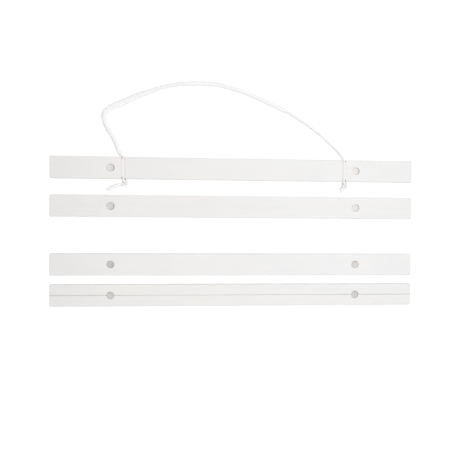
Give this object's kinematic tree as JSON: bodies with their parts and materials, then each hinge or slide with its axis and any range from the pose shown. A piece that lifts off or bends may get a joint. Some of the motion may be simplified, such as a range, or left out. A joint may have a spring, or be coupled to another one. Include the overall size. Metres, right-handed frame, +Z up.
{
  "type": "magnetic poster hanger",
  "caption": "White wooden poster hanger laid open: slim magnetic rails that clamp a poster's edges, with a knotted hanging cord.",
  "frame": {"origin": "centre of the four rails' footprint, on the surface that they lie on", "axes": "+X along the rails to the right, +Y up the page towards the cord's loop, +Z up out of the surface, the way the rails' inner faces look as they lie open"},
  "size_m": [0.33, 0.2028, 0.005],
  "materials": {
    "painted_wood": "matt white paint over fine straight grain",
    "magnet_nickel": "satin nickel plating on a disc magnet",
    "cotton_cord": "white braided cotton"
  },
  "bodies": {
    "top_rear": {"top_rear_rail": "painted_wood", "top_rear_magnet_left": "magnet_nickel", "top_rear_magnet_right": "magnet_nickel", "hanging_cord": "cotton_cord", "left_knot": "cotton_cord", "right_knot": "cotton_cord"},
    "top_front": {"top_front_rail": "painted_wood", "top_front_magnet_left": "magnet_nickel", "top_front_magnet_right": "magnet_nickel"},
    "bottom_rear": {"bottom_rear_rail": "painted_wood", "bottom_rear_magnet_left": "magnet_nickel", "bottom_rear_magnet_right": "magnet_nickel"},
    "bottom_front": {"bottom_front_rail": "painted_wood", "bottom_front_magnet_left": "magnet_nickel", "bottom_front_magnet_right": "magnet_nickel"}
  },
  "joints": [
    {"name": "top_fold", "type": "hinge", "parent": "top_rear", "child": "top_front", "pos_m": [0, 0.03995, 0.00515], "axis": [-1, 0, 0], "range_deg": [0, 180]},
    {"name": "bottom_travel", "type": "slide", "parent": "top_rear", "child": "bottom_rear", "axis": [0, -1, 0], "range_m": [0, 0.35]},
    {"name": "bottom_fold", "type": "hinge", "parent": "bottom_rear", "child": "bottom_front", "pos_m": [0, -0.04315, 0.00515], "axis": [-1, 0, 0], "range_deg": [0, 180]}
  ]
}
